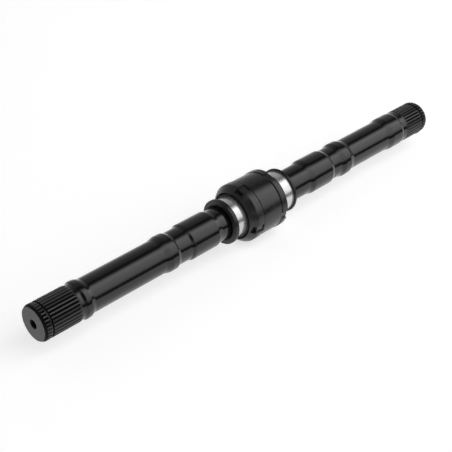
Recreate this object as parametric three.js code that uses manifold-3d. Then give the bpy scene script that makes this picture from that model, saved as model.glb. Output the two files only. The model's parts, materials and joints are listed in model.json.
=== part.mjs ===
// A straight drive axle with a compact double constant-velocity joint in its middle.
// Millimetres. X runs along the axle, from the near end (-X) to the far end (+X), and +Z is up.
// The origin is the middle of the joint, which is also the middle of the axle.
//
// Every turned outline is a list of [a, r] corners: a is the distance from the middle of the axle,
// measured outwards along it, and r is the radius. A side's pieces are drawn pointing to +X, and the
// near side is turned half round about Z.

import * as THREE from 'three';
import { mergeVertices } from 'three/addons/utils/BufferGeometryUtils.js';
import Module from 'manifold-3d';

const wasm = await Module();
wasm.setup();

// ---------------------------------------------------------------- driving dimensions

const HALF_LENGTH = 261.4;
const RUNNING_GAP = 0.3;

// External spline: 32 teeth, 24/48 pitch, 34.9 mm over the teeth.
const OUTER_SPLINE = { teeth: 32, tip: 17.46, root: 16.1, tipWidth: 0.9, rootWidth: 2.8 };
const RING_GROOVE = { middle: 253.4, width: 2.4, bottom: 14.1 };
const END_CHAMFER = 1.4;
const CENTRE_HOLE = { mouth: 4.3, bore: 2.6, cone: 2.0, depth: 13 };

// The two shafts differ in where their collars stand. Each collar is [foot, top, top, foot] along a.
// The far joint and the shaft end in it sit closer to the middle by its inset. flangeTo is where the face of
// the hub's flange stands.
const NEAR_SHAFT = {
  side: 'near',
  inset: 0,
  flangeTo: 44.1,
  thin: 16.6,
  collars: [
    { at: [55.5, 61, 91.2, 94.2], r: 18.15 },
    { at: [108.5, 112, 119, 125.5], r: 18.2 },
    { at: [207.5, 212, 216, 218.5], r: 18.3 },
  ],
  splineStart: 222,
};
const FAR_SHAFT = {
  side: 'far',
  inset: 1.5,
  flangeTo: 41,
  thin: 16.55,
  collars: [
    { at: [69, 74.5, 101.3, 105.5], r: 18.25 },
    { at: [117.5, 123, 130.5, 136.5], r: 18.3 },
    { at: [195, 202.5, 217.5, 220.4], r: 18 },
  ],
  splineStart: 227.5,
};
const RELIEF_R = 16.9;

// Inner end of each shaft, which slides in the hub.
const STUB = { end: 7.6, shoulder: 37, chamfer: 0.6 };
const STUB_SPLINE = { teeth: 18, tip: 12.2, root: 11.2, tipWidth: 1.5, rootWidth: 2.3 };
const CIRCLIP = { from: 8.6, thick: 1.0, inner: 10.8, outer: 13.4, gapAngle: 0.5 };
const CIRCLIP_GROOVE_R = 10.5;

// Ball joints: two alike, with the near one's middle at JOINT_A from the middle of the axle.
const JOINT_A = 16.5;
const BALL = { count: 6, r: 3.97, pitchR: 19.2, trackR: 4.25 };
const CAGE = { outer: 21.6, inner: 18, halfWidth: 6, windowAlong: 8.6, windowAcross: 10, windowHigh: 8 };
const RACE = { r: 17.6, halfWidth: 5.5 };

// Hub: inner race, ground journal and flange in one forging, drawn for the near side.
const HUB = {
  neckR: 14.8,
  journalFrom: 24.4,
  journalR: 20.5,
  flangeFrom: 39.4,
  flangeR: 22.7,
  mouthR: 17.9,
  mouthBottom: 31.6,
  edge: 0.6,
};
// The wiper sits in the hub's mouth, a little behind the flange's face.
const SHAFT_WIPER = { behindFace: 0.6, width: 3.5, inner: 16.95, outer: 17.6 };
const V_RING = { from: { near: 27.3, far: 23.2 }, width: 1.7, inner: 20.8, foot: 21.7, outer: 22.2 };

// Housing: a sleeve with a screwed cap at each end.
const SLEEVE = { boreR: 21.9, spigotR: 26.2, bodyR: 29.4, bodyTo: 12.4, edge: 0.6 };
const SEAL_GROOVE = { from: 13.6, to: 15.4, bottom: 24.8 };
const O_RING = { middleR: 25.65, middleA: 14.5, r: 0.65 };
const CAP = { from: 12.7, rimR: 29.9, skirtR: 26.5, boreR: 23.2, boreChamfer: 0.8, edge: 0.5 };
// The near cap tapers to a nose and the far cap ends in a flat face. The web is where each closes the sleeve.
const CAP_ENDS = {
  near: { outside: [[20.4, 29.9], [21.2, 29.5], [24.4, 27.45], [27.9, 24.3]], web: 20.2 },
  far: { outside: [[19.3, 29.9], [20.2, 29.1]], web: 17.1 },
};
// Flats for a hook spanner round each rim, and deeper pockets in line with them in the near cap's taper.
const FLAT = { count: 4, width: 9, floorR: 27.9, fromTop: 12 };
const POCKET = { from: 21.2, floorR: 24.9 };
const SPACER = { outer: 21.6, inner: 17.3, to: 9.2, webHalf: 1 };

const WIRE_RING = { wireR: 0.8, middleR: 16.4, gapAngle: 0.35, drop: 1.2 };

// Sides given to a round piece: housing and hubs, shafts, and the smaller rings inside.
const HOUSING_SIDES = 36;
const SHAFT_SIDES = 32;
const RING_SIDES = 24;
const WIRE_STEPS = 20;

// ---------------------------------------------------------------- materials

function material(color, roughness, metalness) {
  return new THREE.MeshStandardMaterial({ color, roughness, metalness });
}

const LOOKS = {
  blackShaft: () => material(0x141416, 0.22, 0.75),
  blackHousing: () => material(0x1b1c1e, 0.38, 0.7),
  groundSteel: () => material(0xd8d9da, 0.16, 1),
  cageSteel: () => material(0x6c6f73, 0.45, 0.9),
  bearingSteel: () => material(0xe4e6e8, 0.06, 1),
  springSteel: () => material(0x3a3b3e, 0.35, 0.9),
  rubber: () => material(0x101011, 0.75, 0),
};

// ---------------------------------------------------------------- solids and booleans

function solidOf(geometry) {
  const bare = geometry.clone();
  bare.deleteAttribute('normal');
  bare.deleteAttribute('uv');
  const merged = mergeVertices(bare, 1e-4);
  const vertProperties = new Float32Array(merged.attributes.position.array);
  const triVerts = new Uint32Array(merged.index.array);
  return new wasm.Manifold(new wasm.Mesh({ numProp: 3, vertProperties, triVerts }));
}

function geometryOf(solid) {
  const mesh = solid.getMesh();
  const geometry = new THREE.BufferGeometry();
  geometry.setAttribute('position', new THREE.BufferAttribute(new Float32Array(mesh.vertProperties), 3));
  geometry.setIndex(new THREE.BufferAttribute(new Uint32Array(mesh.triVerts), 1));
  geometry.computeVertexNormals();
  return geometry;
}

const joined = (solids) => solids.reduce((all, next) => all.add(next));

// Spins a list of [a, r] corners about the axle. The list starts and ends on the axis, or closes on itself.
function turned(corners, segments) {
  const points = corners.map(([a, r]) => new THREE.Vector2(r, a));
  const geometry = new THREE.LatheGeometry(points, segments);
  geometry.rotateZ(-Math.PI / 2);
  return solidOf(geometry);
}

// Draws a flat shape across the axle and gives it length along it.
function prism(shape, from, to, curveSegments = 12) {
  const settings = { depth: to - from, bevelEnabled: false, curveSegments };
  const geometry = new THREE.ExtrudeGeometry(shape, settings);
  geometry.rotateX(Math.PI / 2);
  geometry.rotateZ(Math.PI / 2);
  geometry.translate(from, 0, 0);
  return solidOf(geometry);
}

function box(sizeA, sizeAcross, sizeR, a, middleR, angle) {
  const geometry = new THREE.BoxGeometry(sizeA, sizeAcross, sizeR);
  geometry.translate(a, 0, middleR);
  geometry.rotateX(angle);
  return solidOf(geometry);
}

function anglesOf(count, first = 0) {
  return Array.from({ length: count }, (_, i) => first + (i * 2 * Math.PI) / count);
}

// Corners along an arc in the [a, r] plane, from one angle to another, about a middle on the axis.
function arc(middleA, radius, fromA, toA, steps) {
  const start = Math.acos((fromA - middleA) / radius);
  const end = Math.acos((toA - middleA) / radius);
  return Array.from({ length: steps + 1 }, (_, i) => {
    const angle = start + ((end - start) * i) / steps;
    return [middleA + radius * Math.cos(angle), radius * Math.sin(angle)];
  });
}

// ---------------------------------------------------------------- splines

function toothOutline({ teeth, tip, root, tipWidth, rootWidth }, grow = 0) {
  const corners = anglesOf(teeth).flatMap((middle) => {
    const halfRoot = (rootWidth / 2 + grow) / (root + grow);
    const halfTip = (tipWidth / 2 + grow) / (tip + grow);
    return [
      [middle - halfRoot, root + grow],
      [middle - halfTip, tip + grow],
      [middle + halfTip, tip + grow],
      [middle + halfRoot, root + grow],
    ];
  });
  return new THREE.Shape(corners.map(([angle, r]) => new THREE.Vector2(r * Math.cos(angle), r * Math.sin(angle))));
}

// The wheel or gearbox end: teeth, the wire ring's groove, and a chamfer that runs over the teeth.
function splinedEnd(start) {
  const { tip } = OUTER_SPLINE;
  const grooveFrom = RING_GROOVE.middle - RING_GROOVE.width / 2;
  const grooveTo = RING_GROOVE.middle + RING_GROOVE.width / 2;
  const past = tip + 1;
  const envelope = turned([
    [start, 0],
    [start, past],
    [grooveFrom, past],
    [grooveFrom, RING_GROOVE.bottom],
    [grooveTo, RING_GROOVE.bottom],
    [grooveTo, past],
    [HALF_LENGTH - END_CHAMFER - (past - tip), past],
    [HALF_LENGTH, tip - END_CHAMFER],
    [HALF_LENGTH, 0],
  ], SHAFT_SIDES);
  return prism(toothOutline(OUTER_SPLINE), start, HALF_LENGTH).intersect(envelope);
}

function centreHole() {
  const { mouth, bore, cone, depth } = CENTRE_HOLE;
  return turned([
    [HALF_LENGTH - depth - bore / 2, 0],
    [HALF_LENGTH - depth, bore],
    [HALF_LENGTH - cone, bore],
    [HALF_LENGTH + 0.5, mouth + 0.4],
    [HALF_LENGTH + 0.5, 0],
  ], RING_SIDES / 2);
}

// ---------------------------------------------------------------- shafts

function shaftBlank({ thin, collars, splineStart, inset }) {
  const shoulder = STUB.shoulder - inset;
  const collarCorners = collars.flatMap(({ at: [foot, top, topEnd, footEnd], r }, i) => {
    const last = i === collars.length - 1;
    return [
      [foot, thin],
      [(foot + top) / 2, (thin + 2 * r) / 3],
      [top, r],
      [topEnd, r],
      [footEnd, last ? RELIEF_R : thin],
    ];
  });
  return turned([
    [shoulder - 1, 0],
    [shoulder - 1, STUB_SPLINE.tip],
    [shoulder, STUB_SPLINE.tip],
    [shoulder + 1.5, thin],
    ...collarCorners,
    [splineStart + 0.4, RELIEF_R],
    [splineStart + 0.4, 0],
  ], SHAFT_SIDES);
}

function stub() {
  const { end, shoulder, chamfer } = STUB;
  const { tip } = STUB_SPLINE;
  const grooveFrom = CIRCLIP.from - RUNNING_GAP;
  const grooveTo = CIRCLIP.from + CIRCLIP.thick + RUNNING_GAP;
  const envelope = turned([
    [end, 0],
    [end, tip - chamfer],
    [grooveFrom, tip + 0.1],
    [grooveFrom, CIRCLIP_GROOVE_R],
    [grooveTo, CIRCLIP_GROOVE_R],
    [grooveTo, tip + 0.1],
    [shoulder, tip + 0.1],
    [shoulder, 0],
  ], RING_SIDES);
  return prism(toothOutline(STUB_SPLINE), end, shoulder).intersect(envelope);
}

function shaft(spec) {
  const innerEnd = stub().translate([-spec.inset, 0, 0]);
  const whole = joined([innerEnd, shaftBlank(spec), splinedEnd(spec.splineStart)]);
  return whole.subtract(centreHole());
}

// A flat open ring that snaps into a groove.
function circlip() {
  const { from, thick, inner, outer, gapAngle } = CIRCLIP;
  const shape = new THREE.Shape();
  shape.absarc(0, 0, outer, gapAngle / 2, 2 * Math.PI - gapAngle / 2, false);
  shape.absarc(0, 0, inner, 2 * Math.PI - gapAngle / 2, gapAngle / 2, true);
  return prism(shape, from, from + thick, WIRE_STEPS / 2);
}

// A round-wire ring, open at the bottom, which hangs in its groove by the given drop.
function wireRing(drop) {
  const { wireR, middleR, gapAngle } = WIRE_RING;
  const section = new THREE.Shape();
  section.absarc(0, 0, wireR, 0, 2 * Math.PI, false);
  const points = Array.from({ length: WIRE_STEPS + 1 }, (_, i) => {
    const angle = gapAngle / 2 + ((2 * Math.PI - gapAngle) * i) / WIRE_STEPS;
    return new THREE.Vector3(RING_GROOVE.middle, middleR * Math.sin(angle), -middleR * Math.cos(angle) - drop);
  });
  const path = new THREE.CatmullRomCurve3(points);
  const geometry = new THREE.ExtrudeGeometry(section, { steps: WIRE_STEPS, extrudePath: path, curveSegments: 4 });
  return solidOf(geometry);
}

// ---------------------------------------------------------------- hub, cage and balls

function ballTracks(fromA, toA) {
  const length = toA - fromA;
  const cutters = anglesOf(BALL.count).map((angle) => {
    const geometry = new THREE.CylinderGeometry(BALL.trackR, BALL.trackR, length, 12);
    geometry.rotateZ(Math.PI / 2);
    geometry.translate((fromA + toA) / 2, 0, BALL.pitchR);
    geometry.rotateX(angle);
    return solidOf(geometry);
  });
  return joined(cutters);
}

function hub({ inset, flangeTo }) {
  const { neckR, journalFrom, journalR, flangeFrom, flangeR, edge } = HUB;
  const face = flangeTo + inset;
  const raceFrom = JOINT_A - RACE.halfWidth;
  const raceTo = JOINT_A + RACE.halfWidth;
  const blank = turned([
    [raceFrom, 0],
    ...arc(JOINT_A, RACE.r, raceFrom, raceTo, 4),
    [raceTo, neckR],
    [journalFrom - 1, neckR],
    [journalFrom, neckR + 1.5],
    [journalFrom, journalR - edge],
    [journalFrom + edge, journalR],
    [flangeFrom, journalR],
    [flangeFrom, flangeR - edge],
    [flangeFrom + edge, flangeR],
    [face - edge, flangeR],
    [face, flangeR - edge],
    [face, HUB.mouthR + edge],
    [face - edge, HUB.mouthR],
    [HUB.mouthBottom, HUB.mouthR],
    [HUB.mouthBottom, 0],
  ], HOUSING_SIDES);
  const bore = prism(toothOutline(STUB_SPLINE, RUNNING_GAP), raceFrom - 1, HUB.mouthBottom + 1);
  return blank.subtract(bore).subtract(ballTracks(raceFrom - 1, journalFrom - 1.4));
}

function cage() {
  const { outer, inner, halfWidth, windowAlong, windowAcross, windowHigh } = CAGE;
  const from = JOINT_A - halfWidth;
  const to = JOINT_A + halfWidth;
  const outside = arc(JOINT_A, outer, from, to, 4);
  const inside = arc(JOINT_A, inner, to, from, 4);
  const ring = turned([...outside, ...inside, outside[0]], RING_SIDES);
  const window = (angle) => box(windowAlong, windowAcross, windowHigh, JOINT_A, BALL.pitchR, angle);
  const windows = anglesOf(BALL.count).map(window);
  return ring.subtract(joined(windows));
}

function ball(angle) {
  const geometry = new THREE.SphereGeometry(BALL.r, 10, 7);
  geometry.translate(JOINT_A, 0, BALL.pitchR);
  geometry.rotateX(angle);
  return solidOf(geometry);
}

// ---------------------------------------------------------------- rings of rubber

function wiper({ inset, flangeTo }) {
  const { behindFace, width, inner, outer } = SHAFT_WIPER;
  const to = flangeTo + inset - behindFace;
  const from = to - width;
  return turned([[from, inner], [from, outer], [to, outer], [to, inner], [from, inner]], RING_SIDES);
}

function vRing(side) {
  const { width, inner, foot, outer } = V_RING;
  const from = V_RING.from[side];
  const to = from + width;
  return turned([
    [from, inner],
    [from, foot],
    [from + 0.6, outer],
    [to, outer],
    [to, inner],
    [from, inner],
  ], RING_SIDES);
}

function oRing() {
  const { middleR, middleA, r } = O_RING;
  const corners = anglesOf(6).map((angle) => [middleA - r * Math.cos(angle), middleR + r * Math.sin(angle)]);
  return turned([...corners, corners[0]], RING_SIDES);
}

// ---------------------------------------------------------------- housing

// Outline of one end of the sleeve, from its middle outwards.
function sleeveEnd(side) {
  const { boreR, spigotR, bodyR, bodyTo, edge } = SLEEVE;
  const spigotTo = CAP_ENDS[side].web - RUNNING_GAP;
  return [
    [bodyTo - edge, bodyR],
    [bodyTo, bodyR - edge],
    [bodyTo, spigotR],
    [SEAL_GROOVE.from, spigotR],
    [SEAL_GROOVE.from, SEAL_GROOVE.bottom],
    [SEAL_GROOVE.to, SEAL_GROOVE.bottom],
    [SEAL_GROOVE.to, spigotR],
    [spigotTo - edge, spigotR],
    [spigotTo, spigotR - edge],
    [spigotTo, boreR],
  ];
}

function sleeve() {
  const near = sleeveEnd('near').map(([a, r]) => [-a, r]).reverse();
  const blank = turned([...near, ...sleeveEnd('far'), near[0]], HOUSING_SIDES);
  return blank.subtract(ballTracks(-CAP_ENDS.near.web, CAP_ENDS.far.web));
}

// Cuts a flat-floored slot at each spanner position, from one station to another.
function spannerCuts(side, from, to, floorR) {
  const { count, width, fromTop } = FLAT;
  const height = CAP.rimR + 1 - floorR;
  // The near cap is turned half round, so its slots start the other way about the top.
  const first = THREE.MathUtils.degToRad(side === 'near' ? -fromTop : fromTop);
  const cutter = (angle) => box(to - from, width, height, (from + to) / 2, floorR + height / 2, angle);
  return anglesOf(count, first).map(cutter);
}

function endCap(side) {
  const { from, rimR, skirtR, boreR, boreChamfer, edge } = CAP;
  const { outside, web } = CAP_ENDS[side];
  const to = outside.at(-1)[0];
  const blank = turned([
    [from, skirtR],
    [from, rimR - edge],
    [from + edge, rimR],
    ...outside,
    [to, boreR + boreChamfer],
    [to - boreChamfer, boreR],
    [web, boreR],
    [web, skirtR],
    [from, skirtR],
  ], HOUSING_SIDES);
  const cuts = spannerCuts(side, from - 1, to + 1, FLAT.floorR);
  if (side === 'near') cuts.push(...spannerCuts(side, POCKET.from, to + 1, POCKET.floorR));
  return blank.subtract(joined(cuts));
}

// Keeps the two cages apart, and its web is the stop for both shafts.
function spacer() {
  const { outer, inner, webHalf } = SPACER;
  const middle = -FAR_SHAFT.inset / 2;
  const half = SPACER.to + middle;
  return turned([
    [middle - webHalf, 0],
    [middle - webHalf, inner],
    [middle - half, inner],
    [middle - half, outer],
    [middle + half, outer],
    [middle + half, inner],
    [middle + webHalf, inner],
    [middle + webHalf, 0],
  ], RING_SIDES);
}

// ---------------------------------------------------------------- assembly

function piece(name, solid, look) {
  const mesh = new THREE.Mesh(geometryOf(solid), LOOKS[look]());
  mesh.name = name;
  return mesh;
}

function oneSide(spec) {
  const { side, inset } = spec;
  const joint = new THREE.Group();
  joint.add(
    piece(`${side}_cage`, cage(), 'cageSteel'),
    piece(`${side}_hub`, hub(spec), 'groundSteel'),
    piece(`${side}_shaft_wiper`, wiper(spec), 'rubber'),
    piece(`${side}_stub_circlip`, circlip(), 'springSteel'),
    ...anglesOf(BALL.count).map((angle, i) => piece(`${side}_ball_${i + 1}`, ball(angle), 'bearingSteel')),
  );
  joint.position.x = -inset;
  const group = new THREE.Group();
  group.add(
    joint,
    piece(`${side}_end_cap`, endCap(side), 'blackHousing'),
    piece(`${side}_cap_o_ring`, oRing(), 'rubber'),
    piece(`${side}_v_ring_seal`, vRing(side), 'rubber'),
    piece(`${side}_shaft`, shaft(spec), 'blackShaft'),
    piece(`${side}_snap_ring`, wireRing(side === 'far' ? WIRE_RING.drop : 0), 'springSteel'),
  );
  if (side === 'near') group.rotation.z = Math.PI;
  return group;
}

const axle = new THREE.Group();
axle.add(
  piece('joint_sleeve', sleeve(), 'blackHousing'),
  piece('centre_spacer', spacer(), 'cageSteel'),
  oneSide(NEAR_SHAFT),
  oneSide(FAR_SHAFT),
);

export default axle;
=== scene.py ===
import json
import math

import bmesh
import bpy
from mathutils import Matrix, Vector


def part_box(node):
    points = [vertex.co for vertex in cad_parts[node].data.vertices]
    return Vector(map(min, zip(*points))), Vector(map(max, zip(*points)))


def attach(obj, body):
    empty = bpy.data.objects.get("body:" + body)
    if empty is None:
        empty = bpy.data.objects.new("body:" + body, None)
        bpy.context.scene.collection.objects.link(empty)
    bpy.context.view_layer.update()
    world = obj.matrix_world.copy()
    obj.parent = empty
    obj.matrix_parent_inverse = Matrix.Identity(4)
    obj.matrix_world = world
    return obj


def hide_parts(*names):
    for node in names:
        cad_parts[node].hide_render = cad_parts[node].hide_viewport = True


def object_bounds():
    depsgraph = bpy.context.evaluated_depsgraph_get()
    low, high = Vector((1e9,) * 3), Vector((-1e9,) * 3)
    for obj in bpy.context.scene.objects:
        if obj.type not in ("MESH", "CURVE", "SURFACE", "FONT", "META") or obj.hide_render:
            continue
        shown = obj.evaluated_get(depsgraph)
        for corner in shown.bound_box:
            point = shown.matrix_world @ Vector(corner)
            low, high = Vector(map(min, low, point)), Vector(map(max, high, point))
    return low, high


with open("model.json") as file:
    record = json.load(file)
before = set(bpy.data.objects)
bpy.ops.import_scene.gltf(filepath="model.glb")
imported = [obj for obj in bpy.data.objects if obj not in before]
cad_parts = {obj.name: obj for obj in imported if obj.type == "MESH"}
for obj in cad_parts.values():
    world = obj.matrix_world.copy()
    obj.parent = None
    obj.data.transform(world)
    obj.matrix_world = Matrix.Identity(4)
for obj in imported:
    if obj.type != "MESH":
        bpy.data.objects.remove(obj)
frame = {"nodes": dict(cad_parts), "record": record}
cad_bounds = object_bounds()

# The axle's sizes in millimetres, the same as in the CAD model. a is the distance from the middle of
# the axle, measured outwards along it, and r is the radius about the axle's line.
MM = 0.001
HALF_LENGTH = cad_bounds[1][0] / MM

SPLINE_TEETH = 32
SPLINE_TIP = 17.46
SPLINE_ROOT = 16.1
SPLINE_TIP_WIDTH = 0.8
SPLINE_ROOT_WIDTH = 2.9
SPLINE_RUN_OUT = 2.4
SPLINE_PAST_TIP = 0.2
# Below this radius the spline's faces get the painted shade of the tooth gaps.
SPLINE_GAP_TO = 17.0
RELIEF_R = 16.9
RING_GROOVE = (252.2, 254.6)
RING_GROOVE_R = 14.1
WIRE_R = 0.8
WIRE_RING_R = {"near": 15.6, "far": 16.4}
WIRE_RING_GAP = 0.35
FAR_RING_DROP = 1.2
END_CHAMFER = 1.4
END_CHAMFER_LENGTH = 2.6
HOLE_MOUTH_R = 4.6
HOLE_R = 3.7
HOLE_CONE = 1.2
HOLE_DEPTH = 13.0

STUB_END = 7.6
STUB_SHOULDER = 37.0
STUB_TEETH = 18
STUB_TIP = 12.2
STUB_ROOT = 11.2
STUB_TIP_WIDTH = 1.5
STUB_ROOT_WIDTH = 2.3
CIRCLIP_GROOVE = (8.3, 9.9)
CIRCLIP_GROOVE_R = 10.5

# Each collar is (foot, top, top, foot, radius). The far joint sits closer to the middle by its inset,
# and flange_to is where the face of the hub's flange stands.
SHAFTS = {
    "near": {
        "inset": 0.0,
        "flange_to": 44.1,
        "thin": 16.6,
        "collars": [(55.5, 61.0, 91.2, 94.2, 18.15), (108.5, 112.0, 119.0, 125.5, 18.2),
                    (207.5, 212.0, 216.0, 218.5, 18.3)],
        "spline": 222.0,
    },
    "far": {
        "inset": 1.5,
        "flange_to": 41.0,
        "thin": 16.55,
        "collars": [(69.0, 74.5, 101.3, 105.5, 18.25), (117.5, 123.0, 130.5, 136.5, 18.3),
                    (195.0, 202.5, 217.5, 220.4, 18.0)],
        "spline": 227.5,
    },
}

JOINT_A = 16.5
BALL_COUNT = 6
BALL_R = 3.97
BALL_PITCH_R = 19.2
TRACK_R = 4.25
RACE_R = 17.6
RACE_HALF_WIDTH = 5.5

HUB_NECK_R = 14.8
HUB_EDGE = 0.6
JOURNAL_FROM = 24.4
JOURNAL_R = 20.5
FLANGE_FROM = 39.4
FLANGE_R = 22.7
HUB_MOUTH_R = 17.9
HUB_MOUTH_BOTTOM = 31.6
WIPER_BEHIND_FACE = 0.6
WIPER_WIDTH = 3.5
WIPER_INNER_R = 16.95
WIPER_OUTER_R = 17.6

V_RING_FROM = {"near": 27.3, "far": 23.2}
V_RING_INNER_R = 20.8
V_RING_OUTER_R = 22.2

SLEEVE_BORE_R = 21.9
SPIGOT_R = 26.2
SPIGOT_SHORT_OF_WEB = 0.3
BODY_R = 29.4
BODY_TO = 12.4
BODY_EDGE = 0.6
SPIGOT_EDGE = 0.4
SEAL_GROOVE = (13.6, 15.4)
SEAL_GROOVE_R = 24.8

CAP_FROM = 12.7
CAP_RIM_R = 29.9
CAP_SKIRT_R = 26.5
CAP_BORE_R = 23.2
CAP_BORE_CHAMFER = 0.8
CAP_EDGE = 0.5
CAP_ENDS = {
    "near": {
        "outside": [(20.6, 29.9, 0.7), (24.4, 27.5, 3.0), (27.9, 24.3, 0.2)],
        "web": 20.2,
        "flats_from_top": math.radians(-12),
        "pocket": True,
    },
    "far": {
        "outside": [(19.5, 29.9, 0.3), (20.2, 29.2, 0.3)],
        "web": 17.1,
        "flats_from_top": math.radians(12),
        "pocket": False,
    },
}
FLAT_COUNT = 4
FLAT_WIDTH = 9.0
FLAT_FLOOR_R = 27.9
POCKET_FROM = 21.2
POCKET_FLOOR_R = 24.9
POCKET_WALL = 0.2

SMOOTH_SIDES = 192
SHARP_ANGLE = math.radians(32)


# ------------------------------------------------------------------ outlines and turned meshes

def rounded(corners, steps=5, closed=False):
    """Corners are (a, r) or (a, r, fillet). Each fillet becomes a short smooth stretch."""
    count = len(corners)
    points = []
    for i, corner in enumerate(corners):
        here = Vector(corner[:2])
        fillet = corner[2] if len(corner) > 2 else 0
        if fillet == 0 or (not closed and i in (0, count - 1)):
            points.append(tuple(here))
            continue
        back = Vector(corners[i - 1][:2]) - here
        ahead = Vector(corners[(i + 1) % count][:2]) - here
        reach_back = min(fillet, back.length * 0.49)
        reach_ahead = min(fillet, ahead.length * 0.49)
        start = here + back.normalized() * reach_back
        end = here + ahead.normalized() * reach_ahead
        for step in range(steps + 1):
            t = step / steps
            points.append(tuple(start * (1 - t) ** 2 + here * 2 * t * (1 - t) + end * t ** 2))
    return points


def arc(middle_a, radius, from_a, to_a, steps=16):
    """Points of a sphere's outline about a middle on the axle's line."""
    start = math.acos((from_a - middle_a) / radius)
    end = math.acos((to_a - middle_a) / radius)
    angles = [start + (end - start) * i / steps for i in range(steps + 1)]
    return [(middle_a + radius * math.cos(t), radius * math.sin(t)) for t in angles]


def even_angles(count):
    return [2 * math.pi * i / count for i in range(count)]


def turned(name, outline, side="far", angles=None, shape=None, closed=False):
    """Spins an outline of (a, r) points about the axle. Angles run from +Z towards -Y.

    shape(a, r, angle) may change the radius, for teeth, slots and ball tracks. The near side is the
    far side turned half round about Z."""
    angles = angles or even_angles(SMOOTH_SIDES)
    turn = -1 if side == "near" else 1
    verts = []
    rings = []
    for a, r in outline:
        if r < 1e-6:
            rings.append([len(verts)] * len(angles))
            verts.append((turn * a * MM, 0.0, 0.0))
            continue
        ring = []
        for angle in angles:
            radius = shape(a, r, angle) if shape else r
            across = -turn * radius * math.sin(angle) * MM
            ring.append(len(verts))
            verts.append((turn * a * MM, across, radius * math.cos(angle) * MM))
        rings.append(ring)
    pairs = list(zip(rings, rings[1:]))
    if closed:
        pairs.append((rings[-1], rings[0]))
    faces = []
    for low, high in pairs:
        for i in range(len(angles)):
            j = (i + 1) % len(angles)
            corners = [low[i], high[i], high[j], low[j]]
            face = list(dict.fromkeys(corners))
            if len(face) > 2:
                faces.append(face)
    return mesh_object(name, verts, faces)


def mesh_object(name, verts, faces, sharp=SHARP_ANGLE):
    mesh = bpy.data.meshes.new(name)
    mesh.from_pydata(verts, [], faces)
    mesh.validate()
    make_outward(mesh)
    mesh.shade_smooth()
    mesh.set_sharp_from_angle(angle=sharp)
    piece = bpy.data.objects.new(name, mesh)
    bpy.context.scene.collection.objects.link(piece)
    return piece


def make_outward(mesh):
    work = bmesh.new()
    work.from_mesh(mesh)
    bmesh.ops.recalc_face_normals(work, faces=work.faces)
    if work.calc_volume(signed=True) < 0:
        bmesh.ops.reverse_faces(work, faces=work.faces)
    work.to_mesh(mesh)
    work.free()


# ------------------------------------------------------------------ teeth, tracks and slots

def tooth_radius(angle, teeth, tip, root, tip_width, root_width):
    """Radius of a straight-sided tooth form; a tooth's middle is at +Y and so on round."""
    pitch = 2 * math.pi / teeth
    across = (angle - math.pi / 2 + pitch / 2) % pitch - pitch / 2
    half_tip = tip_width / 2 / tip
    half_root = root_width / 2 / root
    share = (abs(across) - half_tip) / (half_root - half_tip)
    share = min(1.0, max(0.0, share))
    return tip + (root - tip) * share


def outer_teeth(start):
    def shape(a, r, angle):
        if a < start:
            return r
        into = min(1.0, (a - start) / SPLINE_RUN_OUT)
        root = RELIEF_R + (SPLINE_ROOT - RELIEF_R) * into
        widths = (SPLINE_TIP_WIDTH, SPLINE_ROOT_WIDTH)
        return min(r, tooth_radius(angle, SPLINE_TEETH, SPLINE_TIP + SPLINE_PAST_TIP, root, *widths))
    return shape


def stub_teeth(a, r, angle):
    return min(r, tooth_radius(angle, STUB_TEETH, STUB_TIP, STUB_ROOT, STUB_TIP_WIDTH, STUB_ROOT_WIDTH))


def nearest(angle, count, first=0.0):
    """The angle from the nearest of several evenly spaced features."""
    pitch = 2 * math.pi / count
    return (angle - first + pitch / 2) % pitch - pitch / 2


def track_radius(angle, outward):
    """Where a ray from the axle's line meets a ball track, on its far or near wall, or None."""
    off = nearest(angle, BALL_COUNT)
    inside = TRACK_R ** 2 - (BALL_PITCH_R * math.sin(off)) ** 2
    if inside <= 0:
        return None
    return BALL_PITCH_R * math.cos(off) + (1 if outward else -1) * math.sqrt(inside)


def sleeve_tracks(a, r, angle):
    track = track_radius(angle, outward=True)
    return max(r, track) if track and r <= SLEEVE_BORE_R + 0.5 else r


def race_tracks(inset):
    race_to = JOINT_A - inset + RACE_HALF_WIDTH

    def shape(a, r, angle):
        track = track_radius(angle, outward=False)
        return min(r, track) if track and a <= race_to + 0.01 and r > HUB_NECK_R else r
    return shape


def slot_angles(first):
    """Even angles with close ones at the edges of each spanner slot, where its walls stand."""
    half = math.asin(FLAT_WIDTH / 2 / CAP_RIM_R)
    walls = [half * share for share in (-1.04, -1.025, -1.0, -0.985, -0.97, 0.97, 0.985, 1.0, 1.025, 1.04)]
    full = 2 * math.pi
    edges = [(first + full * i / FLAT_COUNT + wall) % full for i in range(FLAT_COUNT) for wall in walls]
    clear = [angle for angle in even_angles(SMOOTH_SIDES) if all(abs(angle - edge) > 0.004 for edge in edges)]
    return sorted(clear + edges)


def cap_slots(side):
    """Flats across the rim, and deeper pockets in line with them where the cap has them."""
    end = CAP_ENDS[side]
    half = math.asin(FLAT_WIDTH / 2 / CAP_RIM_R)

    def shape(a, r, angle):
        off = nearest(angle, FLAT_COUNT, end["flats_from_top"])
        wall = min(1.0, max(0.0, (abs(off) / half - 0.97) / 0.07))
        depth = FLAT_FLOOR_R
        if end["pocket"]:
            down = min(1.0, max(0.0, (a - POCKET_FROM) / POCKET_WALL))
            depth += (POCKET_FLOOR_R - FLAT_FLOOR_R) * down
        floor = depth / math.cos(min(abs(off), half))
        if r <= floor:
            return r
        return floor + (r - floor) * wall * wall * (3 - 2 * wall)
    return shape


# ------------------------------------------------------------------ materials

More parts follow.
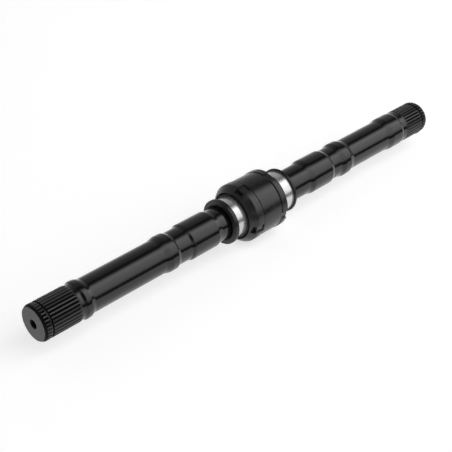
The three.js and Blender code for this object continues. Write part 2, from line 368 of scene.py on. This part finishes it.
class Nodes:
    """A short way to write a material's node tree."""

    def __init__(self, name):
        self.material = bpy.data.materials.new(name)
        self.material.use_nodes = True
        self.tree = self.material.node_tree
        self.shader = self.tree.nodes["Principled BSDF"]
        self.place = self.tree.nodes.new("ShaderNodeTexCoord").outputs["Object"]

    def link(self, start, end):
        self.tree.links.new(start, end)

    def scaled(self, scale):
        mapping = self.tree.nodes.new("ShaderNodeMapping")
        mapping.inputs["Scale"].default_value = scale
        self.link(self.place, mapping.inputs["Vector"])
        return mapping.outputs["Vector"]

    def noise(self, scale, detail=4.0, rough=0.55):
        node = self.tree.nodes.new("ShaderNodeTexNoise")
        node.inputs["Scale"].default_value = 1.0
        node.inputs["Detail"].default_value = detail
        node.inputs["Roughness"].default_value = rough
        self.link(self.scaled(scale), node.inputs["Vector"])
        return node.outputs["Fac"]

    def ramp(self, value, low, high, start, end):
        node = self.tree.nodes.new("ShaderNodeMapRange")
        node.inputs["From Min"].default_value = low
        node.inputs["From Max"].default_value = high
        node.inputs["To Min"].default_value = start
        node.inputs["To Max"].default_value = end
        self.link(value, node.inputs["Value"])
        return node.outputs["Result"]

    def mixed(self, factor, first, second):
        node = self.tree.nodes.new("ShaderNodeMix")
        node.data_type = "RGBA"
        node.inputs["A"].default_value = (*first, 1)
        node.inputs["B"].default_value = (*second, 1)
        self.link(factor, node.inputs["Factor"])
        return node.outputs["Result"]

    def bump(self, *heights, strength=0.3, depth=0.00005):
        last = None
        for height in heights:
            node = self.tree.nodes.new("ShaderNodeBump")
            node.inputs["Strength"].default_value = strength
            node.inputs["Distance"].default_value = depth
            self.link(height, node.inputs["Height"])
            if last:
                self.link(last, node.inputs["Normal"])
            last = node.outputs["Normal"]
        self.link(last, self.shader.inputs["Normal"])

    def radius(self):
        """Distance from the axle's line, for marks that run round a face."""
        flat = self.scaled((0, 1, 1))
        node = self.tree.nodes.new("ShaderNodeVectorMath")
        node.operation = "LENGTH"
        self.link(flat, node.inputs[0])
        return node.outputs["Value"]

    def rings_on_faces(self, spacing):
        """Fine concentric tool marks, as a facing cut leaves them."""
        join = self.tree.nodes.new("ShaderNodeCombineXYZ")
        self.link(self.radius(), join.inputs["X"])
        node = self.tree.nodes.new("ShaderNodeTexNoise")
        node.inputs["Scale"].default_value = 1 / spacing
        node.inputs["Detail"].default_value = 2.0
        self.link(join.outputs["Vector"], node.inputs["Vector"])
        return node.outputs["Fac"]


def black_steel(name, base, lighter, rough, marks=0.12, grain=0.0):
    """Blackened turned steel: faint lathe marks round it, fine grain, uneven gloss."""
    n = Nodes(name)
    clouds = n.noise((60, 60, 60), detail=3)
    n.link(n.mixed(n.ramp(clouds, 0.35, 0.7, 0, 1), base, lighter), n.shader.inputs["Base Color"])
    gloss = n.noise((260, 90, 90), detail=4)
    n.link(n.ramp(gloss, 0.3, 0.7, rough * 0.85, rough * 1.2), n.shader.inputs["Roughness"])
    lathe = n.noise((5200, 40, 40), detail=1)
    fine = n.noise((2600, 2600, 2600), detail=2)
    n.bump(lathe, strength=marks, depth=0.00002)
    if grain:
        n.bump(lathe, fine, strength=grain, depth=0.00003)
    n.shader.inputs["Metallic"].default_value = 0.0
    n.shader.inputs["IOR"].default_value = 1.5
    return n.material


def shaft_black():
    return black_steel("shaft_black", (0.0035, 0.0035, 0.0042), (0.006, 0.006, 0.007), 0.13)


def housing_black():
    return black_steel("housing_black", (0.006, 0.006, 0.0065), (0.011, 0.011, 0.012), 0.25)


def cap_black():
    return black_steel("cap_black", (0.007, 0.007, 0.0075), (0.013, 0.013, 0.014), 0.3, grain=0.35)


def ground_steel():
    n = Nodes("ground_steel")
    clouds = n.noise((90, 90, 90), detail=3)
    n.link(n.mixed(clouds, (0.56, 0.56, 0.56), (0.66, 0.66, 0.66)), n.shader.inputs["Base Color"])
    grinding = n.noise((9000, 120, 120), detail=2)
    n.link(n.ramp(grinding, 0.3, 0.7, 0.16, 0.26), n.shader.inputs["Roughness"])
    n.bump(grinding, strength=0.08, depth=0.00001)
    n.shader.inputs["Metallic"].default_value = 0.74
    return n.material


def machined_steel():
    n = Nodes("machined_steel")
    clouds = n.noise((200, 200, 200), detail=4)
    n.link(n.mixed(clouds, (0.24, 0.245, 0.26), (0.36, 0.365, 0.38)), n.shader.inputs["Base Color"])
    marks = n.noise((4200, 300, 300), detail=2)
    n.link(n.ramp(marks, 0.3, 0.7, 0.3, 0.48), n.shader.inputs["Roughness"])
    n.bump(marks, strength=0.2, depth=0.00003)
    n.shader.inputs["Metallic"].default_value = 1.0
    return n.material


def ball_steel():
    n = Nodes("ball_steel")
    smudge = n.noise((500, 500, 500), detail=4)
    n.link(n.mixed(smudge, (0.82, 0.83, 0.85), (0.88, 0.885, 0.9)), n.shader.inputs["Base Color"])
    n.link(n.ramp(smudge, 0.3, 0.8, 0.03, 0.1), n.shader.inputs["Roughness"])
    n.bump(n.noise((3000, 3000, 3000), detail=1), strength=0.04, depth=0.00001)
    n.shader.inputs["Metallic"].default_value = 1.0
    return n.material


def spring_black():
    return black_steel("spring_black", (0.004, 0.004, 0.0045), (0.012, 0.012, 0.013), 0.3, grain=0.2)


def rubber():
    n = Nodes("rubber")
    bloom = n.noise((300, 300, 300), detail=5)
    n.link(n.mixed(bloom, (0.006, 0.006, 0.006), (0.016, 0.016, 0.017)), n.shader.inputs["Base Color"])
    n.link(n.ramp(bloom, 0.3, 0.7, 0.45, 0.62), n.shader.inputs["Roughness"])
    n.bump(n.noise((3500, 3500, 3500), detail=3), strength=0.35, depth=0.00003)
    return n.material


def faced_black(name, base, lighter, rough):
    """A faced end: concentric marks from the facing cut under a thin black finish."""
    n = Nodes(name)
    clouds = n.noise((140, 140, 140), detail=4)
    n.link(n.mixed(n.ramp(clouds, 0.3, 0.7, 0, 1), base, lighter), n.shader.inputs["Base Color"])
    rings = n.rings_on_faces(0.0004)
    n.link(n.ramp(rings, 0.3, 0.7, rough * 0.85, rough * 1.15), n.shader.inputs["Roughness"])
    n.bump(rings, n.noise((2400, 2400, 2400), detail=2), strength=0.3, depth=0.00003)
    return n.material


def flange_black():
    """The turned flange face: its round tool marks spread the gloss across them."""
    n = Nodes("flange_face_black")
    clouds = n.noise((140, 140, 140), detail=4)
    n.link(n.mixed(clouds, (0.005, 0.005, 0.0055), (0.01, 0.01, 0.011)), n.shader.inputs["Base Color"])
    rings = n.rings_on_faces(0.0004)
    n.link(n.ramp(rings, 0.3, 0.7, 0.36, 0.48), n.shader.inputs["Roughness"])
    n.bump(rings, n.noise((2400, 2400, 2400), detail=2), strength=0.2, depth=0.00003)
    round_the_axle = n.tree.nodes.new("ShaderNodeTangent")
    round_the_axle.direction_type = "RADIAL"
    round_the_axle.axis = "X"
    n.link(round_the_axle.outputs["Tangent"], n.shader.inputs["Tangent"])
    n.shader.inputs["Anisotropic"].default_value = 0.9
    n.shader.inputs["Anisotropic Rotation"].default_value = 0.25
    return n.material


def recess_painted_shade(name):
    """Tooth gaps and holes: painted shade, dull and near black, standing in for the shade deep in these
    recesses, with faint cutting marks in the roughness.
    """
    n = Nodes(name)
    clouds = n.noise((220, 220, 220), detail=3)
    n.link(n.mixed(clouds, (0.0006, 0.0006, 0.0006), (0.002, 0.002, 0.002)), n.shader.inputs["Base Color"])
    marks = n.noise((90, 2600, 2600), detail=2)
    n.link(n.ramp(marks, 0.3, 0.7, 0.4, 0.55), n.shader.inputs["Roughness"])
    n.bump(marks, strength=0.2, depth=0.00002)
    # The weak gloss is part of the painted shade.
    n.shader.inputs["Specular IOR Level"].default_value = 0.12
    return n.material


MATERIALS = {
    "shaft": shaft_black(),
    # Painted shade: a near-black, low-gloss material for the shaft's tooth gaps, ring groove and centre hole.
    "recess": recess_painted_shade("recess_painted_shade"),
    "end_face": faced_black("end_face_black", (0.045, 0.045, 0.047), (0.07, 0.07, 0.072), 0.5),
    "flange_face": flange_black(),
    "housing": housing_black(),
    "cap": cap_black(),
    "ground": ground_steel(),
    "machined": machined_steel(),
    "ball": ball_steel(),
    "spring": spring_black(),
    "rubber": rubber(),
}


def finish_piece(piece, body, slot, looks, *nodes):
    for look in looks if isinstance(looks, tuple) else (looks,):
        piece.data.materials.append(MATERIALS[look])
    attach(piece, body)
    if nodes:
        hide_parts(*nodes)
    return piece


def paint(piece, index, wanted):
    """Gives a material index to the faces whose middle (a, r, along) passes a test."""
    for face in piece.data.polygons:
        middle = face.center
        radius = math.hypot(middle.y, middle.z) / MM
        if wanted(abs(middle.x) / MM, radius, abs(face.normal.x)):
            face.material_index = index


# ------------------------------------------------------------------ shafts

def shaft_outline(spec):
    shoulder = STUB_SHOULDER - spec["inset"]
    corners = [(shoulder, 0), (shoulder, STUB_TIP), (shoulder + 1.5, spec["thin"], 0.6)]
    for i, (foot, top, top_end, foot_end, r) in enumerate(spec["collars"]):
        last = i == len(spec["collars"]) - 1
        corners += [
            (foot, spec["thin"], 1.0),
            (top, r, 0.8),
            (top_end, r, 0.3 if last else 0.5),
            (foot_end, RELIEF_R if last else spec["thin"], 0.4 if last else 0.9),
        ]
    start = spec["spline"]
    corners += [
        (start - 0.2, RELIEF_R, 0.3),
        (start + 0.8, SPLINE_TIP, 0.2),
        (start + SPLINE_RUN_OUT, SPLINE_TIP),
        (RING_GROOVE[0], SPLINE_TIP, 0.15),
        (RING_GROOVE[0], RING_GROOVE_R),
        (RING_GROOVE[1], RING_GROOVE_R),
        (RING_GROOVE[1], SPLINE_TIP, 0.15),
        (HALF_LENGTH - END_CHAMFER_LENGTH, SPLINE_TIP, 0.2),
        (HALF_LENGTH, SPLINE_TIP - END_CHAMFER, 0.2),
        (HALF_LENGTH, HOLE_MOUTH_R, 0.15),
        (HALF_LENGTH - HOLE_CONE, HOLE_R, 0.2),
        (HALF_LENGTH - HOLE_DEPTH, HOLE_R),
        (HALF_LENGTH - HOLE_DEPTH - HOLE_R / 2, 0),
    ]
    return rounded(corners)


def stub_outline():
    return rounded([
        (STUB_END, 0),
        (STUB_END, STUB_TIP - 0.6, 0.1),
        (CIRCLIP_GROOVE[0], STUB_TIP),
        (CIRCLIP_GROOVE[0], CIRCLIP_GROOVE_R),
        (CIRCLIP_GROOVE[1], CIRCLIP_GROOVE_R),
        (CIRCLIP_GROOVE[1], STUB_TIP),
        (STUB_SHOULDER, STUB_TIP),
        (STUB_SHOULDER, 0),
    ])


def tooth_angles(teeth, steps):
    return even_angles(teeth * steps)


def inward(outline, side):
    """Moves an outline towards the middle by the side's inset."""
    return [(a - SHAFTS[side]["inset"], r) for a, r in outline]


def add_shaft(side):
    spec = SHAFTS[side]
    whole = turned(f"{side}_shaft_body", shaft_outline(spec), side, tooth_angles(SPLINE_TEETH, 16),
                   outer_teeth(spec["spline"]))
    looks = ("shaft", "end_face", "recess")
    finish_piece(whole, f"{side}_shaft", "black_shaft", looks, f"{side}_shaft")
    paint(whole, 1, lambda a, r, flat: a > HALF_LENGTH - 0.05 and flat > 0.9)
    # Painted shade: faces in the tooth gaps, ring groove and centre hole get the near-black recess material.
    paint(whole, 2, lambda a, r, flat: a > spec["spline"] + 1 and r < SPLINE_GAP_TO and flat < 0.9)
    angles = tooth_angles(STUB_TEETH, 10)
    stub = turned(f"{side}_shaft_stub", inward(stub_outline(), side), side, angles, stub_teeth)
    finish_piece(stub, f"{side}_shaft", "black_shaft", "machined")


# ------------------------------------------------------------------ hub and its seals

def hub_outline(side):
    face = SHAFTS[side]["flange_to"] + SHAFTS[side]["inset"]
    race_from = JOINT_A - RACE_HALF_WIDTH
    race_to = JOINT_A + RACE_HALF_WIDTH
    bore_r = STUB_TIP + 0.3
    outside = arc(JOINT_A, RACE_R, race_from, race_to)
    corners = [
        (race_to, HUB_NECK_R, 0.3),
        (JOURNAL_FROM - 1, HUB_NECK_R, 0.5),
        (JOURNAL_FROM, HUB_NECK_R + 1.5, 0.3),
        (JOURNAL_FROM, JOURNAL_R - HUB_EDGE, 0.1),
        (JOURNAL_FROM + HUB_EDGE, JOURNAL_R, 0.2),
        (FLANGE_FROM, JOURNAL_R, 0.3),
        (FLANGE_FROM, FLANGE_R - 0.5, 0.15),
        (FLANGE_FROM + 0.5, FLANGE_R, 0.25),
        (face - HUB_EDGE, FLANGE_R, 0.25),
        (face, FLANGE_R - HUB_EDGE, 0.25),
        (face, HUB_MOUTH_R + 0.5, 0.2),
        (face - 0.5, HUB_MOUTH_R, 0.2),
        (HUB_MOUTH_BOTTOM, HUB_MOUTH_R, 0.5),
        (HUB_MOUTH_BOTTOM, bore_r, 0.2),
        (race_from, bore_r, 0.2),
    ]
    return outside + rounded(corners, closed=True)


def add_hub(side):
    inset = SHAFTS[side]["inset"]
    outline = inward(hub_outline(side), side)
    whole = turned(f"{side}_hub_body", outline, side, shape=race_tracks(inset), closed=True)
    finish_piece(whole, f"{side}_hub", "ground_steel", ("ground", "flange_face", "machined"), f"{side}_hub")
    paint(whole, 1, lambda a, r, flat: a > FLANGE_FROM - inset - 0.05)
    paint(whole, 2, lambda a, r, flat: a < JOURNAL_FROM - inset - 0.1 or r < HUB_MOUTH_R - 0.1)
    paint(whole, 1, lambda a, r, flat: a > HUB_MOUTH_BOTTOM - inset - 0.1 and r < HUB_MOUTH_R + 0.6)


def add_v_ring(side):
    """The seal on the journal: a rubber ring with a sloping back."""
    start = V_RING_FROM[side]
    section = [
        (0.0, V_RING_INNER_R, 0.1),
        (0.0, V_RING_OUTER_R - 0.2, 0.1),
        (0.2, V_RING_OUTER_R, 0.1),
        (0.8, V_RING_OUTER_R, 0.25),
        (1.1, V_RING_OUTER_R - 0.4, 0.25),
        (1.1, V_RING_INNER_R + 0.5, 0.2),
        (0.8, V_RING_INNER_R, 0.1),
    ]
    outline = rounded([(start + a, *rest) for a, *rest in section], closed=True)
    piece = turned(f"{side}_axial_seal", outline, side, closed=True)
    finish_piece(piece, f"{side}_hub", "seal_rubber", "rubber", f"{side}_v_ring_seal")


def add_wiper(side):
    """The ring in the hub's mouth, with two lips that clear the shaft."""
    face = SHAFTS[side]["flange_to"] - WIPER_BEHIND_FACE
    outline = rounded([
        (face - WIPER_WIDTH, WIPER_OUTER_R, 0.15),
        (face, WIPER_OUTER_R, 0.2),
        (face, WIPER_INNER_R + 0.3, 0.1),
        (face - 0.5, WIPER_INNER_R, 0.1),
        (face - 1.8, WIPER_INNER_R + 0.25, 0.3),
        (face - 3.0, WIPER_INNER_R, 0.1),
        (face - WIPER_WIDTH, WIPER_INNER_R + 0.15, 0.1),
    ], closed=True)
    piece = turned(f"{side}_wiper_ring", outline, side, closed=True)
    finish_piece(piece, f"{side}_hub", "seal_rubber", "rubber", f"{side}_shaft_wiper")


# ------------------------------------------------------------------ housing

def sleeve_end(side):
    spigot_to = CAP_ENDS[side]["web"] - SPIGOT_SHORT_OF_WEB
    return [
        (BODY_TO - BODY_EDGE, BODY_R, 0.25),
        (BODY_TO, BODY_R - BODY_EDGE, 0.15),
        (BODY_TO, SPIGOT_R),
        (SEAL_GROOVE[0], SPIGOT_R, 0.1),
        (SEAL_GROOVE[0], SEAL_GROOVE_R),
        (SEAL_GROOVE[1], SEAL_GROOVE_R),
        (SEAL_GROOVE[1], SPIGOT_R, 0.1),
        (spigot_to - SPIGOT_EDGE, SPIGOT_R, 0.1),
        (spigot_to, SPIGOT_R - SPIGOT_EDGE, 0.1),
        (spigot_to, SLEEVE_BORE_R),
    ]


def sleeve_outline():
    near = [(-a, *rest) for a, *rest in reversed(sleeve_end("near"))]
    return rounded(near + sleeve_end("far"), closed=True)


def add_sleeve():
    piece = turned("joint_sleeve_body", sleeve_outline(), shape=sleeve_tracks, closed=True)
    finish_piece(piece, "housing", "black_housing", "housing", "joint_sleeve")


def cap_outline(side):
    end = CAP_ENDS[side]
    to = end["outside"][-1][0]
    outside = list(end["outside"])
    if end["pocket"]:
        # Two stations on the taper carry the pocket's end wall.
        rim, *taper = outside
        slope = (taper[0][1] - rim[1]) / (taper[0][0] - rim[0])
        wall = [(a, rim[1] + slope * (a - rim[0])) for a in (POCKET_FROM, POCKET_FROM + POCKET_WALL)]
        outside = [rim, *wall, *taper]
    return rounded([
        (CAP_FROM, CAP_SKIRT_R),
        (CAP_FROM, CAP_RIM_R - CAP_EDGE, 0.1),
        (CAP_FROM + CAP_EDGE, CAP_RIM_R, 0.25),
        *outside,
        (to, CAP_BORE_R + CAP_BORE_CHAMFER, 0.1),
        (to - CAP_BORE_CHAMFER, CAP_BORE_R, 0.15),
        (end["web"], CAP_BORE_R),
        (end["web"], CAP_SKIRT_R),
    ], closed=True)


def add_cap(side):
    angles = slot_angles(CAP_ENDS[side]["flats_from_top"])
    piece = turned(f"{side}_cap_body", cap_outline(side), side, angles, cap_slots(side), closed=True)
    finish_piece(piece, "housing", "black_housing", "cap", f"{side}_end_cap")


def wire_ring_points(side, drop):
    """The wire's middle line, open at the bottom."""
    steps = 120
    turn = -1 if side == "near" else 1
    points = []
    for i in range(steps + 1):
        angle = WIRE_RING_GAP / 2 + (2 * math.pi - WIRE_RING_GAP) * i / steps
        across = turn * WIRE_RING_R[side] * math.sin(angle)
        height = -WIRE_RING_R[side] * math.cos(angle) - drop
        points.append(Vector((turn * sum(RING_GROOVE) / 2, across, height)) * MM)
    return points


def swept_wire(name, points, radius, sides=16):
    """A round wire along a flat line across the axle, with domed ends."""
    verts = []
    faces = []
    along = Vector((1, 0, 0))
    last = len(points) - 1
    rings = []
    ends = {0: (0.0, 0.6, 0.9), last: (0.9, 0.6, 0.0)}
    for i, point in enumerate(points):
        tangent = (points[min(i + 1, last)] - points[max(i - 1, 0)]).normalized()
        out = tangent.cross(along).normalized()
        shares = ends.get(i, (1.0,))
        for k, share in enumerate(shares):
            back = math.sqrt(1 - share ** 2) * radius
            middle = point + tangent * (-back if i == 0 else back if i == last else 0)
            size = max(share, 0.02) * radius
            rings.append(len(verts))
            for angle in even_angles(sides):
                verts.append(middle + (along * math.cos(angle) + out * math.sin(angle)) * size)
    for low, high in zip(rings, rings[1:]):
        for i in range(sides):
            j = (i + 1) % sides
            faces.append((low + i, low + j, high + j, high + i))
    faces.append([rings[0] + i for i in range(sides)])
    faces.append([rings[-1] + i for i in range(sides)])
    return mesh_object(name, verts, faces, math.radians(60))


def add_wire_ring(side):
    drop = FAR_RING_DROP if side == "far" else 0.0
    piece = swept_wire(f"{side}_wire_ring", wire_ring_points(side, drop), WIRE_R * MM)
    finish_piece(piece, f"{side}_shaft", "spring_steel", "spring", f"{side}_snap_ring")


# ------------------------------------------------------------------ inner pieces

def add_balls(side):
    bodies = frame["record"]["behaviour"]["bodies"]
    for number in range(1, BALL_COUNT + 1):
        node = f"{side}_ball_{number}"
        low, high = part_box(node)
        outline = [(BALL_R * math.cos(t), BALL_R * math.sin(t)) for t in
                   [math.pi * i / 24 for i in range(25)]]
        outline[0] = (BALL_R, 0)
        outline[-1] = (-BALL_R, 0)
        piece = turned(f"{node}_polished", outline, angles=even_angles(48))
        piece.data.transform(Matrix.Translation((low + high) / 2))
        body = next(name for name, members in bodies.items() if node in members)
        finish_piece(piece, body, "bearing_steel", "ball", node)


def restyle(node, look):
    piece = frame["nodes"][node]
    piece.data.materials.clear()
    piece.data.materials.append(MATERIALS[look])


def restyle_inner_pieces():
    restyle("centre_spacer", "machined")
    for side in SHAFTS:
        restyle(f"{side}_cage", "machined")
        restyle(f"{side}_cap_o_ring", "rubber")
        restyle(f"{side}_stub_circlip", "spring")


# ------------------------------------------------------------------ camera, floor and light

CAMERA_AZIMUTH = math.radians(-44.81)
CAMERA_ELEVATION = math.radians(33.74)
CAMERA_DISTANCE = 1.0368
CAMERA_LENS = 84.62
JOINT_RIGHT_OF_AIM = 0.02513
JOINT_ABOVE_AIM = 0.02047


def add_camera():
    az, el = CAMERA_AZIMUTH, CAMERA_ELEVATION
    back = Vector((math.sin(az) * math.cos(el), -math.cos(az) * math.cos(el), math.sin(el)))
    right = Vector((math.cos(az), math.sin(az), 0))
    up = back.cross(right)
    aim = -right * JOINT_RIGHT_OF_AIM - up * JOINT_ABOVE_AIM
    data = bpy.data.cameras.new("camera")
    data.lens = CAMERA_LENS
    data.sensor_width = 36
    camera = bpy.data.objects.new("camera", data)
    turn = Matrix((right, up, back)).transposed().to_4x4()
    camera.matrix_world = Matrix.Translation(aim + back * CAMERA_DISTANCE) @ turn
    bpy.context.scene.collection.objects.link(camera)
    bpy.context.scene.camera = camera


def stage_sheet(name, verts, faces, material):
    mesh = bpy.data.meshes.new(name)
    mesh.from_pydata(verts, [], faces)
    mesh.materials.append(material)
    mesh.shade_smooth()
    piece = bpy.data.objects.new(name, mesh)
    bpy.context.scene.collection.objects.link(piece)
    return piece


FLOOR_REACH = 12.0
FLOOR_GAP = 0.0005


def add_floor():
    material = bpy.data.materials.new("pale_floor")
    material.use_nodes = True
    shader = material.node_tree.nodes["Principled BSDF"]
    shader.inputs["Base Color"].default_value = (0.55, 0.55, 0.55, 1)
    shader.inputs["Roughness"].default_value = 0.9
    shader.inputs["Emission Color"].default_value = (1, 1, 1, 1)
    shader.inputs["Emission Strength"].default_value = 0.66
    height = cad_bounds[0][2] - FLOOR_GAP
    signs = [(-1, -1), (1, -1), (1, 1), (-1, 1)]
    corners = [(x * FLOOR_REACH, y * FLOOR_REACH, height) for x, y in signs]
    stage_sheet("floor", corners, [(0, 1, 2, 3)], material)


TENT_RADIUS = 2.6
TENT_ENDS = (-3.0, 7.0)
# Brightness of the tent, by degrees from overhead (0) towards the front (90) and the back (-90).
TENT_LIGHT = [(-90, 0.62), (-50, 0.4), (-18, 0.24), (-12, 0.05), (0, 0.05), (6, 0.4), (22, 2.3), (46, 1.8),
              (70, 1.45), (82, 0.9), (86, 0.1), (91, 0.05)]
TENT_BRIGHTEST = 2.5
# The tent is dimmed round the place that faces turned to the camera reflect.
DIM_ANGLE = math.radians(46.7)
DIM_ALONG = -1.88
DIM_FROM = 0.9
DIM_TO = 2.4
DIM_LIGHT = 0.03
DARK_STRIP = (-2.6, -0.156)
DARK_STRIP_GAP = 0.0003


class Glow:
    """A plain light-giving surface whose strength may vary over it."""

    def __init__(self, name, strength=1.0):
        self.material = bpy.data.materials.new(name)
        self.material.use_nodes = True
        self.tree = self.material.node_tree
        self.tree.nodes.clear()
        self.shader = self.tree.nodes.new("ShaderNodeEmission")
        self.shader.inputs["Strength"].default_value = strength
        out = self.tree.nodes.new("ShaderNodeOutputMaterial")
        self.tree.links.new(self.shader.outputs["Emission"], out.inputs["Surface"])
        self.place = self.tree.nodes.new("ShaderNodeTexCoord").outputs["Object"]

    def math(self, operation, first, second):
        node = self.tree.nodes.new("ShaderNodeMath")
        node.operation = operation
        for socket, value in zip(node.inputs, (first, second)):
            if isinstance(value, (int, float)):
                socket.default_value = value
            else:
                self.tree.links.new(value, socket)
        return node.outputs["Value"]

    def round_the_axle(self):
        """0 at the back, 0.5 overhead and 1 at the front."""
        split = self.tree.nodes.new("ShaderNodeSeparateXYZ")
        self.tree.links.new(self.place, split.inputs["Vector"])
        forward = self.math("MULTIPLY", split.outputs["Y"], -1)
        angle = self.math("ARCTAN2", forward, split.outputs["Z"])
        share = self.math("MULTIPLY", angle, 1 / math.pi)
        return self.math("ADD", share, 0.5)

    def by_stops(self, value, stops):
        node = self.tree.nodes.new("ShaderNodeValToRGB")
        points = node.color_ramp.elements
        while len(points) < len(stops):
            points.new(0.5)
        for point, (position, strength) in zip(points, stops):
            point.position = position
            point.color = (strength, strength, strength, 1)
        self.tree.links.new(value, node.inputs["Fac"])
        return node.outputs["Color"]

    def distance_from(self, point):
        node = self.tree.nodes.new("ShaderNodeVectorMath")
        node.operation = "DISTANCE"
        node.inputs[1].default_value = point
        self.tree.links.new(self.place, node.inputs[0])
        return node.outputs["Value"]

    def ramp(self, value, low, high, start, end):
        node = self.tree.nodes.new("ShaderNodeMapRange")
        node.interpolation_type = "SMOOTHSTEP"
        for socket, number in zip(list(node.inputs)[1:5], (low, high, start, end)):
            socket.default_value = number
        self.tree.links.new(value, node.inputs["Value"])
        return node.outputs["Result"]


def add_light_tent():
    """A curved tent over the axle: bright in front, a dark gap overhead, and dimmer beside the camera."""
    glow = Glow("tent_light")
    stops = [(angle / 180 + 0.5, light / TENT_BRIGHTEST) for angle, light in TENT_LIGHT]
    light = glow.math("MULTIPLY", glow.by_stops(glow.round_the_axle(), stops), TENT_BRIGHTEST)
    by_camera = (DIM_ALONG, -TENT_RADIUS * math.sin(DIM_ANGLE), TENT_RADIUS * math.cos(DIM_ANGLE))
    dimming = glow.ramp(glow.distance_from(by_camera), DIM_FROM, DIM_TO, DIM_LIGHT, 1.0)
    glow.tree.links.new(glow.math("MULTIPLY", light, dimming), glow.shader.inputs["Strength"])
    start, end = math.radians(TENT_LIGHT[0][0]), math.radians(TENT_LIGHT[-1][0])
    steps = 120
    verts = []
    for i in range(steps + 1):
        angle = start + (end - start) * i / steps
        verts += [(x, -TENT_RADIUS * math.sin(angle), TENT_RADIUS * math.cos(angle)) for x in TENT_ENDS]
    faces = [(2 * i, 2 * i + 1, 2 * i + 3, 2 * i + 2) for i in range(steps)]
    tent = stage_sheet("light_tent", verts, faces, glow.material)
    tent.visible_camera = False
    tent.visible_shadow = False


def add_dark_strip():
    """A dark strip in front of the white floor, which only shows as a line in the polished metal."""
    height = cad_bounds[0][2] - DARK_STRIP_GAP
    far_edge, near_edge = DARK_STRIP
    corners = [(TENT_ENDS[0], far_edge, height), (TENT_ENDS[1], far_edge, height),
               (TENT_ENDS[1], near_edge, height), (TENT_ENDS[0], near_edge, height)]
    strip = stage_sheet("front_dark_strip", corners, [(0, 1, 2, 3)], Glow("dark_card", 0.04).material)
    strip.visible_camera = False
    strip.visible_diffuse = False
    strip.visible_shadow = False


BACKDROP_RADIUS = 11.0
BACKDROP_HEIGHT = 9.0
BACKDROP_GLOW = 0.93


def add_backdrop():
    """A pale round wall behind the floor, for low views. Only the camera sees it."""
    low = cad_bounds[0][2] - 0.001
    verts = []
    angles = even_angles(SMOOTH_SIDES)
    for height in (low, low + BACKDROP_HEIGHT):
        verts += [(BACKDROP_RADIUS * math.cos(t), BACKDROP_RADIUS * math.sin(t), height) for t in angles]
    count = len(angles)
    faces = [(i, (i + 1) % count, (i + 1) % count + count, i + count) for i in range(count)]
    wall = stage_sheet("backdrop", verts, faces, Glow("pale_wall", BACKDROP_GLOW).material)
    wall.visible_diffuse = False
    wall.visible_glossy = False
    wall.visible_transmission = False
    wall.visible_shadow = False


def add_world():
    world = bpy.data.worlds.new("studio")
    world.use_nodes = True
    bpy.context.scene.world = world
    background = world.node_tree.nodes["Background"]
    background.inputs["Color"].default_value = (1, 1, 1, 1)
    background.inputs["Strength"].default_value = 0.4


bpy.context.scene.view_settings.view_transform = "Standard"
add_camera()
add_floor()
add_backdrop()
add_light_tent()
add_dark_strip()
add_world()

add_sleeve()
for end in SHAFTS:
    add_cap(end)
    add_hub(end)
    add_v_ring(end)
    add_wiper(end)
    add_shaft(end)
    add_wire_ring(end)
    add_balls(end)
restyle_inner_pieces()
